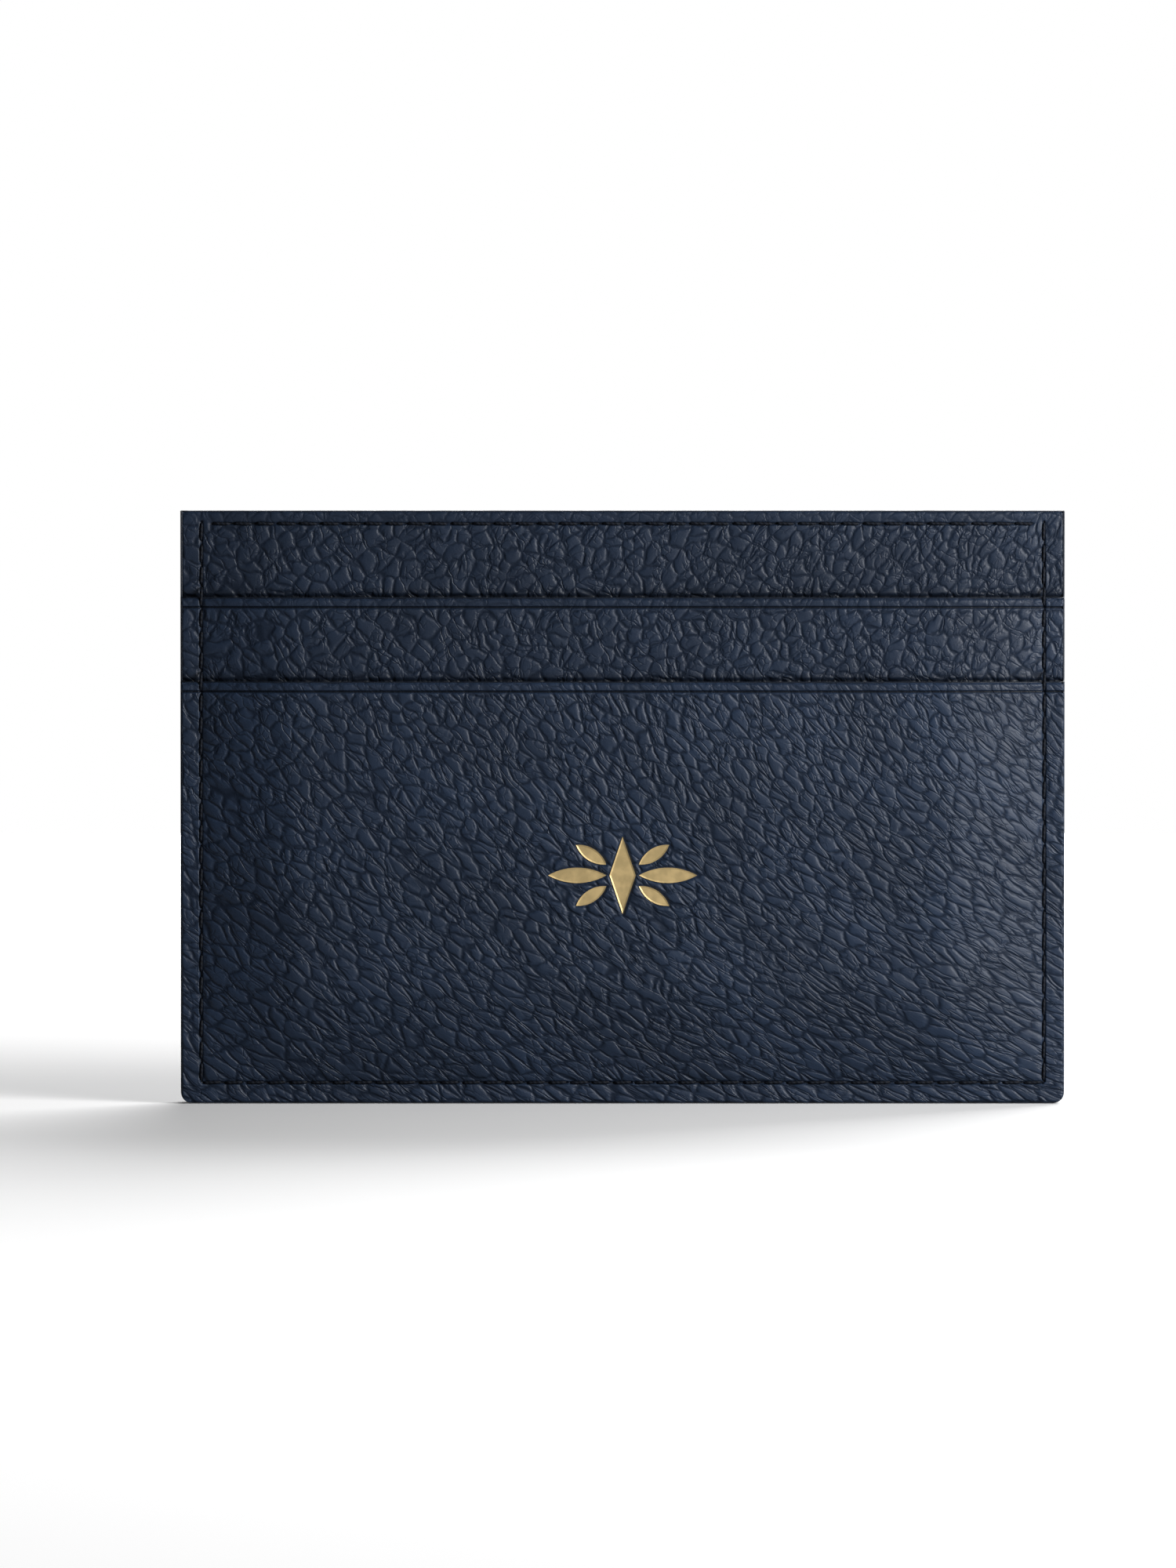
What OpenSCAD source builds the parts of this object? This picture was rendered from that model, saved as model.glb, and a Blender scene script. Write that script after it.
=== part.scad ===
// Flat leather card holder: two stepped card slots on each face and a centre pocket between them.
// X runs along the width, Y through the thickness with the front face towards -Y, Z up the height.
// The origin is the middle of the bottom edge.

/* [Card] */
// Width of a bank card
card_w = 85.6; // [80:0.1:90]
// Thickness of a bank card
card_t = 0.76; // [0.5:0.01:1.2]
// Slack across each pocket when its card is in
card_slack = 0.04; // [0.02:0.01:0.3]
// Slack beside the card at each end
card_side_slack = 0.2; // [0.1:0.05:1]

/* [Holder] */
// Width over the painted edges
holder_w = 100; // [98:1:130]
// Height over the painted edges
holder_h = 67; // [60:1:90]
// Radius of the two bottom corners
corner_r = 1.3; // [0.8:0.1:2.2]
// Body panel that shows above the upper slot
top_reveal = 9.8; // [7:0.1:14]
// Upper pocket that shows above the lower slot
slot_reveal = 9.5; // [7:0.1:14]
// Width of the pressed seam round the sides and the bottom
seam_w = 3; // [2.9:0.1:3.8]
// Height over which the panels rise from the bottom seam
floor_rise = 1.8; // [1:0.1:4]

/* [Leather and lining] */
// Thickness of a body panel
body_t = 0.6; // [0.4:0.05:1.2]
// Thickness of an upper pocket strip
strip_t = 0.5; // [0.4:0.05:1]
// Thickness of a lower pocket panel
face_t = 0.7; // [0.4:0.05:1.4]
// Thickness of a body lining
lining_t = 0.15; // [0.1:0.05:0.4]
// Thickness of a T-shaped pocket liner
liner_t = 0.15; // [0.1:0.05:0.4]
// How far an upper strip runs down behind the lower slot
strip_overlap = 5; // [3:0.5:10]
// Height of the liner's stitched foot
liner_foot_h = 3; // [2:0.5:6]
// Height of the liner's foot above the pocket floor
liner_foot_lift = 2.9; // [0.5:0.1:6]
// Thickness of the edge paint
paint_t = 0.1; // [0.05:0.01:0.2]

/* [Stitching] */
// Distance from the edge to the seam stitches
stitch_inset = 2.4; // [1.8:0.1:2.5]
// Distance from the top edge to its row of stitches
top_stitch_inset = 1.45; // [1:0.05:2.5]
// Wanted distance from hole to hole
stitch_pitch = 2.42; // [2.1:0.01:3.2]
// Diameter of the thread on the outside
thread_d = 0.4; // [0.25:0.05:0.5]
// Diameter of the thread on the lining
bobbin_d = 0.2; // [0.1:0.02:0.3]
// Width of a needle slit less the thread
slit_slack = 0.1; // [0.05:0.01:0.2]

/* [Foil ornament] */
// Width of the stamped ornament
ornament_w = 16.8; // [10:0.1:30]
// Height of the stamped ornament
ornament_h = 8.7; // [5:0.1:16]
// Height of the ornament's centre above the bottom edge
ornament_z = 25.9; // [14:0.1:34]
// Depth of the stamp in the leather
stamp_depth = 0.1; // [0.06:0.01:0.2]
// Thickness of the foil
foil_t = 0.04; // [0.02:0.01:0.06]

/* [Hidden] */

// Heights of the slots and of the foot of the leather strip behind the lower one
upper_mouth_z = holder_h - top_reveal;
lower_mouth_z = upper_mouth_z - slot_reveal;
strip_foot_z = lower_mouth_z - strip_overlap;

// Where the panels leave the seam, and where they lie clear of a card
rise_out = holder_w / 2 - seam_w;
rise_in = card_w / 2 + card_side_slack;
floor_out = seam_w;
floor_in = seam_w + floor_rise;

// Distance of each layer's inner face from the middle plane, at the seam and over a card
pocket_gap = card_t + card_slack;
lining_seam = 0;
body_seam = lining_seam + lining_t;
liner_seam = body_seam + body_t;
strip_seam = liner_seam + liner_t;
face_seam = strip_seam + strip_t;
outer_seam = face_seam + face_t;
lining_flat = pocket_gap / 2;
body_flat = lining_flat + lining_t;
liner_flat = body_flat + body_t + pocket_gap;
strip_flat = liner_flat + liner_t;
face_flat = strip_flat + strip_t + pocket_gap;
outer_flat = face_flat + face_t;

// Each needle slit takes two legs side by side, one from either neighbouring stitch
thread_r = thread_d / 2;
leg_offset = thread_d * 0.75;
slit_l = 2 * leg_offset + thread_d + slit_slack;
slit_w = thread_d + slit_slack;

// Rows of stitches. On the sides a stitch bridges each mouth, so that no slit cuts a mouth.
seam_x = holder_w / 2 - stitch_inset;
seam_top_z = holder_h - slit_l;
low_run = lower_mouth_z - stitch_inset;
low_count = round(low_run / stitch_pitch - 0.5);
low_pitch = low_run / (low_count + 0.5);
mid_count = round(slot_reveal / stitch_pitch);
mid_pitch = slot_reveal / mid_count;
top_run = seam_top_z - upper_mouth_z;
high_count = round(top_run / stitch_pitch - 0.5);
high_pitch = top_run / (high_count + 0.5);
floor_count = round(2 * seam_x / stitch_pitch);
floor_pitch = 2 * seam_x / floor_count;
top_row_x = seam_x - slit_w - slit_l / 2;
top_row_z = holder_h - top_stitch_inset;
top_count = round(2 * top_row_x / stitch_pitch);
top_pitch = 2 * top_row_x / top_count;

// Foot of the T-shaped liner, stitched across the body panel
liner_foot_z = floor_in + liner_foot_lift;
liner_rise_z = liner_foot_z + liner_foot_h;
liner_rise = pocket_gap * 2;
liner_end_inset = 2;
liner_row_x = rise_in - liner_end_inset;
liner_row_z = liner_foot_z + liner_foot_h / 2;
liner_count = round(2 * liner_row_x / stitch_pitch);
liner_pitch = 2 * liner_row_x / liner_count;

past = 1; // how far a cutter runs past what it cuts
run_gap = 0.02; // hairline between two runs of edge paint
arc_fn = 48;
thread_fn = 16;

leather = "#262f3d";
thread_colour = "#131a27";
paint = "#161d2a";
cloth = "#2b3445";
board = "#3a4252";
gold = "#c4a871";

// Centres of the needle slits, each as [x, z, way]: way is 0 along X and 1 along Z
side_z = concat(
    [for (i = [0:low_count]) stitch_inset + i * low_pitch],
    [for (i = [0:mid_count - 1]) lower_mouth_z + (i + 0.5) * mid_pitch],
    [for (i = [0:high_count]) upper_mouth_z + (i + 0.5) * high_pitch]
);
left_holes = [for (z = side_z) [-seam_x, z, 1]];
right_holes = [for (z = side_z) [seam_x, z, 1]];
floor_holes = [for (i = [0:floor_count]) [-seam_x + i * floor_pitch, stitch_inset, 0]];
top_holes = [for (i = [0:top_count]) [-top_row_x + i * top_pitch, top_row_z, 0]];
liner_holes = [for (i = [0:liner_count]) [-liner_row_x + i * liner_pitch, liner_row_z, 0]];

// ---- shared shapes ----

// Outline of the holder in X and Z, inset on the sides and the bottom, with round bottom corners
module outline(inset) {
    half_w = holder_w / 2 - inset;
    r = corner_r - inset;
    union() {
        translate([-half_w, inset + r]) square([2 * half_w, holder_h - inset - r]);
        translate([-half_w + r, inset]) square([2 * (half_w - r), holder_h - inset]);
        for (side = [-1, 1]) translate([side * (half_w - r), inset + r]) circle(r, $fn = arc_fn);
    }
}

// The outline as a block through the whole thickness
module outline_block(inset) {
    rotate([90, 0, 0]) linear_extrude(2 * (outer_flat + past), center = true) outline(inset);
}

// Block from the middle plane out to a surface `seam` away at the seams and `flat` away over a card
module crowned_block(seam, flat, z0, z1, extra = 0) {
    half_w = holder_w / 2 + extra;
    intersection() {
        translate([0, 0, z0 - extra]) linear_extrude(z1 - z0 + 2 * extra) polygon([
            [-half_w, extra], [-half_w, -seam], [-rise_out, -seam], [-rise_in, -flat],
            [rise_in, -flat], [rise_out, -seam], [half_w, -seam], [half_w, extra]
        ]);
        rotate([90, 0, 90]) linear_extrude(2 * half_w, center = true) polygon([
            [extra, -past], [-seam, -past], [-seam, floor_out], [-flat, floor_in],
            [-flat, holder_h + past], [extra, holder_h + past]
        ]);
    }
}

// One layer of thickness t between two heights, following the crown
module layer(seam, flat, t, z0, z1) {
    difference() {
        intersection() {
            crowned_block(seam + t, flat + t, z0, z1);
            outline_block(paint_t);
        }
        crowned_block(seam, flat, z0, z1, past);
    }
}

// Needle slits through the front half
module slits(holes) {
    for (h = holes) {
        size = h[2] == 0 ? [slit_l, slit_w] : [slit_w, slit_l];
        translate([h[0], -outer_flat, h[1]])
            cube([size[0], 2 * outer_flat + past, size[1]], center = true);
    }
}

module seam_slits() {
    slits(concat(left_holes, right_holes, floor_holes));
}

// Channel that the bobbin thread pulls into the inner side of the top edge
module bobbin_channel() {
    channel_h = bobbin_d + slit_slack;
    translate([-top_row_x, -lining_flat - bobbin_d, top_row_z - channel_h / 2])
        cube([2 * top_row_x, lining_flat + bobbin_d, channel_h]);
}

// Outer face of the stacked seam at a height
function seam_face(z) = z < lower_mouth_z ? outer_seam : z < upper_mouth_z ? face_seam : liner_seam;

// One stitch from hole a up or along to hole b, on the face at `out`, with legs that reach in to `foot`
module stitch(a, b, out, foot) {
    way = a[0] == b[0] ? [0, 1] : [1, 0];
    span = norm([b[0] - a[0], b[1] - a[1]]) - 2 * leg_offset;
    y = out + thread_r;
    translate([a[0] + way[0] * leg_offset, -y, a[1] + way[1] * leg_offset]) union() {
        rotate([0, 90 * way[0], 0]) cylinder(h = span, r = thread_r, $fn = thread_fn);
        for (k = [0, span]) translate([k * way[0], 0, k * way[1]]) {
            sphere(thread_r, $fn = thread_fn);
            rotate([-90, 0, 0]) cylinder(h = y - foot, r = thread_r, $fn = thread_fn);
        }
    }
}

// Stitches from each hole of a row to the next, on the face at `out`
module stitch_row(holes, out, foot) {
    for (i = [0:len(holes) - 2]) stitch(holes[i], holes[i + 1], out, foot);
}

// Lozenge with its corners on the axes
module lozenge(w, h) {
    polygon([[-w / 2, 0], [0, -h / 2], [w / 2, 0], [0, h / 2]]);
}

// Leaf that lies along X from the origin: the overlap of two round arcs
module leaf(length, width) {
    r = (length * length + width * width) / (4 * width);
    translate([length / 2, 0]) intersection() {
        translate([0, r - width / 2]) circle(r, $fn = arc_fn);
        translate([0, width / 2 - r]) circle(r, $fn = arc_fn);
    }
}

// Outline of the ornament: an upright lozenge with three leaves fanned out on each side
module ornament() {
    core_w = ornament_h * 0.34;
    leaf_start = core_w * 0.62;
    leaf_l = ornament_w / 2 - leaf_start;
    leaf_w = ornament_h * 0.2;
    fan = 33;
    lozenge(core_w, ornament_h);
    for (side = [0, 1]) mirror([side, 0]) {
        translate([leaf_start, 0]) leaf(leaf_l, leaf_w);
        for (tilt = [-fan, fan])
            translate([leaf_start, sign(tilt) * leaf_w * 0.7])
                rotate(tilt) leaf(leaf_l * 0.62, leaf_w * 0.8);
    }
}

// The ornament as a block of thickness t whose back lies `depth` under the front face
module ornament_block(depth, t) {
    translate([0, depth - outer_flat, ornament_z]) rotate([90, 0, 0]) linear_extrude(t) ornament();
}

// ---- sub-parts of one half, drawn as the front half ----

module body_panel() {
    color(leather) difference() {
        layer(body_seam, body_flat, body_t, 0, holder_h - paint_t);
        seam_slits();
        slits(top_holes);
        slits(liner_holes);
        bobbin_channel();
    }
}

module body_lining() {
    color(cloth) difference() {
        layer(lining_seam, lining_flat, lining_t, 0, holder_h - paint_t);
        seam_slits();
        slits(top_holes);
        bobbin_channel();
    }
}

module upper_pocket_strip() {
    color(leather) difference() {
        layer(strip_seam, strip_flat, strip_t, strip_foot_z, upper_mouth_z - paint_t);
        seam_slits();
    }
}

// T-shaped cloth: the bar lines the strip out to the side seams, and the tongue hangs down to its foot
module upper_pocket_liner() {
    near = body_flat + body_t;
    color(cloth) difference() {
        union() {
            layer(liner_seam, liner_flat, liner_t, strip_foot_z, upper_mouth_z - paint_t);
            rotate([90, 0, 90]) linear_extrude(2 * rise_in, center = true) polygon([
                [-near, liner_foot_z], [-near - liner_t, liner_foot_z], [-near - liner_t, liner_rise_z],
                [-liner_flat - liner_t, liner_rise_z + liner_rise],
                [-liner_flat - liner_t, strip_foot_z], [-liner_flat, strip_foot_z],
                [-liner_flat, liner_rise_z + liner_rise], [-near, liner_rise_z]
            ]);
        }
        seam_slits();
        slits(liner_holes);
    }
}

// U-shaped strip that fills the seam below the upper pocket strip
module seam_filler() {
    color(board) difference() {
        intersection() {
            translate([-holder_w / 2, -face_seam, 0])
                cube([holder_w, face_seam - liner_seam, strip_foot_z]);
            outline_block(paint_t);
        }
        translate([-rise_out, -outer_seam, floor_out]) cube([2 * rise_out, outer_seam, holder_h]);
        seam_slits();
    }
}

module lower_pocket_panel() {
    color(leather) difference() {
        layer(face_seam, face_flat, face_t, 0, lower_mouth_z - paint_t);
        seam_slits();
    }
}

// The front one alone carries the stamp of the ornament
module stamped_lower_pocket_panel() {
    color(leather) difference() {
        lower_pocket_panel();
        ornament_block(stamp_depth, stamp_depth + past);
    }
}

module body_edge_paint() {
    color(paint) layer(body_seam, body_flat, body_t, holder_h - paint_t, holder_h);
}

module upper_edge_paint() {
    color(paint) layer(strip_seam, strip_flat, strip_t, upper_mouth_z - paint_t, upper_mouth_z);
}

module lower_edge_paint() {
    color(paint) layer(face_seam, face_flat, face_t, lower_mouth_z - paint_t, lower_mouth_z);
}

// Needle thread outside and bobbin thread on the lining, locked in each slit
module top_stitching() {
    color(thread_colour) {
        stitch_row(top_holes, body_flat + body_t, lining_flat);
        for (i = [0:top_count - 1])
            translate([top_holes[i][0] + leg_offset, -lining_flat - bobbin_d / 2, top_row_z])
                rotate([0, 90, 0]) cylinder(h = top_pitch - 2 * leg_offset, d = bobbin_d, $fn = thread_fn);
    }
}

module liner_stitching() {
    color(thread_colour) stitch_row(liner_holes, body_flat + body_t + liner_t, body_flat);
}

// The legs of the front and back rows meet in the middle plane
module seam_stitching() {
    color(thread_colour) {
        for (holes = [left_holes, right_holes], i = [0:len(holes) - 2])
            stitch(holes[i], holes[i + 1], seam_face(holes[i][1]), 0);
        stitch_row(floor_holes, outer_seam, 0);
    }
}

module foil_ornament() {
    color(gold) ornament_block(stamp_depth, foil_t);
}

module back_half() {
    mirror([0, 1, 0]) children();
}

// ---- the piece shared by both halves ----

// Coat of paint round the whole stack, laid in three runs: the bottom, and each side with its corner
module perimeter_edge_paint() {
    steps = [[outer_seam, lower_mouth_z], [face_seam, upper_mouth_z], [liner_seam, holder_h]];
    side_start = holder_w / 2 - corner_r;
    floor_end = side_start - run_gap;
    color(paint) {
        translate([-floor_end, -outer_seam, 0]) cube([2 * floor_end, 2 * outer_seam, paint_t]);
        for (side = [0, 1]) mirror([side, 0, 0]) intersection() {
            difference() {
                outline_block(0);
                outline_block(paint_t);
            }
            union() {
                for (s = steps) translate([side_start, -s[0], 0]) cube([corner_r, 2 * s[0], s[1]]);
            }
        }
    }
}

body_panel();  // front_body_panel
body_lining();  // front_body_lining
upper_pocket_strip();  // front_upper_pocket_strip
upper_pocket_liner();  // front_upper_pocket_liner
seam_filler();  // front_seam_filler
stamped_lower_pocket_panel();  // front_lower_pocket_panel
body_edge_paint();  // front_body_edge_paint
upper_edge_paint();  // front_upper_edge_paint
lower_edge_paint();  // front_lower_edge_paint
top_stitching();  // front_top_stitching
liner_stitching();  // front_liner_stitching
seam_stitching();  // front_seam_stitching
foil_ornament();  // front_foil_ornament
back_half() body_panel();  // back_body_panel
back_half() body_lining();  // back_body_lining
back_half() upper_pocket_strip();  // back_upper_pocket_strip
back_half() upper_pocket_liner();  // back_upper_pocket_liner
back_half() seam_filler();  // back_seam_filler
back_half() lower_pocket_panel();  // back_lower_pocket_panel
back_half() body_edge_paint();  // back_body_edge_paint
back_half() upper_edge_paint();  // back_upper_edge_paint
back_half() lower_edge_paint();  // back_lower_edge_paint
back_half() top_stitching();  // back_top_stitching
back_half() liner_stitching();  // back_liner_stitching
back_half() seam_stitching();  // back_seam_stitching
perimeter_edge_paint();
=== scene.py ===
"""Looks of a flat leather card holder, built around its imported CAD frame.

X is the width, the front faces -Y and Z is up. Every length in this file is in metres.
"""

import math

import bmesh
import bpy
import numpy as np
from mathutils import Matrix, Vector, noise
from mathutils.bvhtree import BVHTree


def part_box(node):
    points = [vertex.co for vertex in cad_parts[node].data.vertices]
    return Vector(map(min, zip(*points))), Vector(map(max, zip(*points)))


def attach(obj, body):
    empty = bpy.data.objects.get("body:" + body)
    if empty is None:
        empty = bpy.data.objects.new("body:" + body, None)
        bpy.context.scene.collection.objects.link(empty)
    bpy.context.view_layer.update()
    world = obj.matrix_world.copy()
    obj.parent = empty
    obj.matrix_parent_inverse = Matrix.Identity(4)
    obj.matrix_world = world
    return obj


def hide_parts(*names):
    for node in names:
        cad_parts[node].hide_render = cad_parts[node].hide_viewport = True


bl_info = {
    "name": "Card Holder Looks",
    "version": (1, 0, 0),
    "blender": (4, 5, 0),
    "location": "3D View > Sidebar > Card Holder",
    "description": "Leather panels, cloth, edge paint, stitches and foil of a flat card holder",
    "category": "Object",
}

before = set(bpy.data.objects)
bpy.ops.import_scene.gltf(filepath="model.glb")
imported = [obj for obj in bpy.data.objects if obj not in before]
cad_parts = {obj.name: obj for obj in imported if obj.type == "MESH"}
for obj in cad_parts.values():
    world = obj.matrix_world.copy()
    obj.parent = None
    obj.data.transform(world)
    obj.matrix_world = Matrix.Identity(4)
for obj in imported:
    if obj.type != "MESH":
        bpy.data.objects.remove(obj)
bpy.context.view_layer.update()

MM = 0.001
BODY = "root"
SIDES = {"front": -1, "back": 1}


# ---- measures taken from the frame ----

def high(node, axis):
    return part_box(node)[1][axis]


def low(node, axis):
    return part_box(node)[0][axis]


HALF_W = high("perimeter_edge_paint", 0)
TOP = high("perimeter_edge_paint", 2)
PANEL_HALF_W = high("back_body_panel", 0)
PAINT_T = HALF_W - PANEL_HALF_W
UPPER_MOUTH = high("back_upper_edge_paint", 2)
LOWER_MOUTH = high("back_lower_edge_paint", 2)
STRIP_FOOT = low("back_upper_pocket_strip", 2)
LINER_FOOT = low("back_upper_pocket_liner", 2)
SEAM_INSET = 2.4 * MM
THREAD_R = high("back_seam_stitching", 0) - (HALF_W - SEAM_INSET)
SEAM_X = HALF_W - SEAM_INSET
TOP_ROW_Z = (high("back_top_stitching", 2) + low("back_top_stitching", 2)) / 2
CORNER_R = 1.3 * MM


class Layer:
    """Where one layer lies: its distances from the middle plane at the seams and over a card."""

    def __init__(self, seam_in, flat_out, thickness):
        self.seam_in = seam_in
        self.thickness = thickness
        self.flat_in = flat_out - thickness

    def depth(self, crown, outer):
        """Distance from the middle plane. The crown is 0 to 1, outer is 0 on the inner face and 1 outside."""
        return self.seam_in + (self.flat_in - self.seam_in) * crown + self.thickness * outer


BODY_SEAM = low("back_body_panel", 1)
LINER_SEAM = low("back_upper_pocket_liner", 1)
STRIP_SEAM = low("back_upper_pocket_strip", 1)
FACE_SEAM = low("back_lower_pocket_panel", 1)
SEAM_OUT = high("perimeter_edge_paint", 1)
LAYERS = {
    "lining": Layer(0.0, high("back_body_lining", 1), BODY_SEAM),
    "body": Layer(BODY_SEAM, high("back_body_panel", 1), LINER_SEAM - BODY_SEAM),
    "liner": Layer(LINER_SEAM, high("back_upper_pocket_liner", 1), STRIP_SEAM - LINER_SEAM),
    "strip": Layer(STRIP_SEAM, high("back_upper_pocket_strip", 1), FACE_SEAM - STRIP_SEAM),
    "face": Layer(FACE_SEAM, high("back_lower_pocket_panel", 1), SEAM_OUT - FACE_SEAM),
}


# ---- what a user may change ----

class HolderColours(bpy.types.PropertyGroup):
    leather: bpy.props.FloatVectorProperty(
        name="Leather", description="Dye of the leather", subtype="COLOR", size=3, min=0, max=1,
        default=(0.0105, 0.0200, 0.0410))
    # painted shade: a darker colour laid into the creases of the grain
    crease: bpy.props.FloatVectorProperty(
        name="Crease", description="Leather in the creases of the grain", subtype="COLOR", size=3,
        min=0, max=1, default=(0.0070, 0.0128, 0.0262))
    paint: bpy.props.FloatVectorProperty(
        name="Edge paint", description="Paint on the cut edges", subtype="COLOR", size=3, min=0, max=1,
        default=(0.0065, 0.0105, 0.0195))
    thread: bpy.props.FloatVectorProperty(
        name="Thread", description="Waxed thread of the seams", subtype="COLOR", size=3, min=0, max=1,
        default=(0.0040, 0.0062, 0.0120))
    cloth: bpy.props.FloatVectorProperty(
        name="Cloth", description="Woven cloth of the linings", subtype="COLOR", size=3, min=0, max=1,
        default=(0.014, 0.022, 0.042))
    foil: bpy.props.FloatVectorProperty(
        name="Foil", description="Metal foil of the stamp", subtype="COLOR", size=3, min=0, max=1,
        default=(0.82, 0.61, 0.29))


class HolderSizes(bpy.types.PropertyGroup):
    crown_width: bpy.props.FloatProperty(
        name="Crown width", description="How far the leather curves up from a seam", unit="LENGTH",
        default=11.0 * MM)
    crown_fullness: bpy.props.FloatProperty(
        name="Crown fullness", description="How steeply the leather leaves a seam", min=1, max=4,
        default=1.32)
    relief: bpy.props.FloatProperty(
        name="Grain relief", description="Height of the pebbles over the creases", unit="LENGTH",
        default=0.085 * MM)
    crease_drop: bpy.props.FloatProperty(
        name="Crease line drop", description="Distance of the pressed line from a mouth", unit="LENGTH",
        default=1.12 * MM)
    crease_depth: bpy.props.FloatProperty(
        name="Crease line depth", description="Depth of the pressed line along a mouth", unit="LENGTH",
        default=0.24 * MM)
    seam_depth: bpy.props.FloatProperty(
        name="Seam depth", description="How far the thread pulls the leather in", unit="LENGTH",
        default=0.26 * MM)


def colours():
    return bpy.context.scene.holder_colours


def sizes():
    return bpy.context.scene.holder_sizes


# ---- nodes ----

def node(tree, kind, inputs=None, **settings):
    """A node with its settings, and its inputs, by name or number, linked to a socket or set to a value."""
    made = tree.nodes.new(kind)
    for name, value in settings.items():
        setattr(made, name, value)
    for name, value in (inputs or {}).items():
        if isinstance(value, bpy.types.NodeSocket):
            tree.links.new(value, made.inputs[name])
        else:
            made.inputs[name].default_value = value
    return made


def math_node(tree, operation, *values):
    return node(tree, "ShaderNodeMath", dict(enumerate(values)), operation=operation).outputs[0]


def ramp(tree, value, start, end, low_out=0.0, high_out=1.0):
    """A smooth step of value from start to end."""
    inputs = {"Value": value, "From Min": start, "From Max": end, "To Min": low_out, "To Max": high_out}
    return node(tree, "ShaderNodeMapRange", inputs, interpolation_type="SMOOTHSTEP").outputs[0]


def vector_math(tree, operation, a, b):
    """The vector that comes of a and b, where b is a number if the operation is SCALE."""
    inputs = {0: a, "Scale" if operation == "SCALE" else 1: b}
    return node(tree, "ShaderNodeVectorMath", inputs, operation=operation).outputs[0]


def noise_at(tree, place, scale, detail=2.0, roughness=0.5):
    """Noise at a place, with its value as output 0 and its colour as output 1."""
    inputs = {"Vector": place, "Scale": scale, "Detail": detail, "Roughness": roughness}
    return node(tree, "ShaderNodeTexNoise", inputs).outputs


def mix_colour(tree, factor, a, b):
    inputs = {0: factor, 6: a, 7: b}
    return node(tree, "ShaderNodeMix", inputs, data_type="RGBA").outputs[2]


def group_tree(name, inputs, outputs):
    """A shader node group with named sockets, and its input and output nodes."""
    tree = bpy.data.node_groups.new(name, "ShaderNodeTree")
    for socket, kind, value in inputs:
        made = tree.interface.new_socket(socket, in_out="INPUT", socket_type=kind)
        if value is not None:
            made.default_value = value
    for socket, kind in outputs:
        tree.interface.new_socket(socket, in_out="OUTPUT", socket_type=kind)
    return tree, tree.nodes.new("NodeGroupInput").outputs, tree.nodes.new("NodeGroupOutput").inputs


def grown(colour):
    return (*colour, 1.0)


# ---- the grain of the hide, shared by the shader and the mesh ----

PEBBLE = 1.2  # across a pebble, in the millimetres of the hide's own coordinates
WARPS = ((0.4, 1.1), (1.3, 0.4))  # how fine each bend of the pattern is, and how far it pushes
CREASE_FLANK = 0.22  # from the crease to the top of a pebble, as a share of its width
HEALED = 0.11  # how far a crease fades where the hide has healed over it
FURROW_RUN = (0.62, 0.17, 1.0)  # the long furrows lie along the fibres
FURROW_WIDTH = 0.045


def bend(tree, place, scale, amount):
    """Coordinates pushed about by noise."""
    push = noise_at(tree, place, scale, detail=1.0)[1]
    centred = vector_math(tree, "SUBTRACT", push, (0.5, 0.5, 0.5))
    return vector_math(tree, "ADD", place, vector_math(tree, "SCALE", centred, amount))


def cells_at(tree, place, scale, feature):
    cells = {"Vector": place, "Scale": scale, "Randomness": 1.0}
    made = node(tree, "ShaderNodeTexVoronoi", cells, voronoi_dimensions="2D", feature=feature)
    return made.outputs["Distance"]


def pebble_height(tree, place):
    """Height of the pebbles, 0 in a crease to 1 on top, how far it is to a crease, and the bent place."""
    bent = place
    for scale, amount in WARPS:
        bent = bend(tree, bent, scale, amount)
    edge = cells_at(tree, bent, 1 / PEBBLE, "DISTANCE_TO_EDGE")
    healed = noise_at(tree, place, 0.9, detail=1.0)[0]
    edge = math_node(tree, "ADD", edge, ramp(tree, healed, 0.5, 0.72, 0.0, HEALED))
    centre = cells_at(tree, bent, 1 / PEBBLE, "F1")
    flank = ramp(tree, edge, 0.0, CREASE_FLANK)
    dome = ramp(tree, centre, 0.95, 0.0)
    swell = math_node(tree, "MULTIPLY_ADD", dome, 0.4, 0.6)
    level = noise_at(tree, vector_math(tree, "MULTIPLY", bent, FURROW_RUN), 1.0, detail=0.0)[0]
    from_furrow = math_node(tree, "ABSOLUTE", math_node(tree, "SUBTRACT", level, 0.5))
    furrow = ramp(tree, from_furrow, 0.0, FURROW_WIDTH)
    ridge = math_node(tree, "MULTIPLY_ADD", furrow, 0.6, 0.4)
    edge = math_node(tree, "MULTIPLY", edge, math_node(tree, "MULTIPLY_ADD", furrow, 0.75, 0.25))
    height = math_node(tree, "MULTIPLY", math_node(tree, "MULTIPLY", flank, swell), ridge)
    return height, edge, bent


WRINKLE_RUN = (3.0, 2.2, 1.0)
# what each kind of mark adds to the fine height of the grain
PEBBLE_SHARE, CREASE_SHARE, FAINT_SHARE, WRINKLE_SHARE, PORE_SHARE = 0.6, 0.26, 0.3, 0.3, 0.15


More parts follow.
